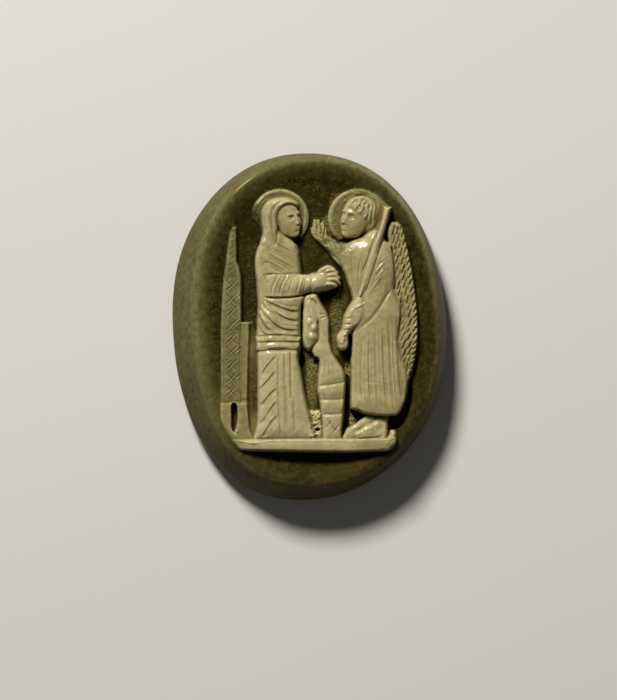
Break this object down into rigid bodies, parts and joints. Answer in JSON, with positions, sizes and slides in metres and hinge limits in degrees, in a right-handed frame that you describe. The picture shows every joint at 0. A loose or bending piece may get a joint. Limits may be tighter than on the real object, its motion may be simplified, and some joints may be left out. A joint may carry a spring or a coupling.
{
  "type": "relief-carved cameo",
  "caption": "Oval cameo carved in relief from layered agate: a veiled woman facing a winged messenger, both haloed, with a tower and basket; flat back for a setting.",
  "frame": {"origin": "middle of the flat back, under the middle of the bounding box", "axes": "+Z out of the carved face, +Y towards the heads of the figures, +X to the viewer's right"},
  "size_m": [0.0222, 0.0278, 0.005],
  "materials": {
    "agate": "two layers, cream over dark olive brown, polished with a soft sheen"
  },
  "bodies": {
    "root": {"cameo": "agate"}
  },
  "joints": []
}
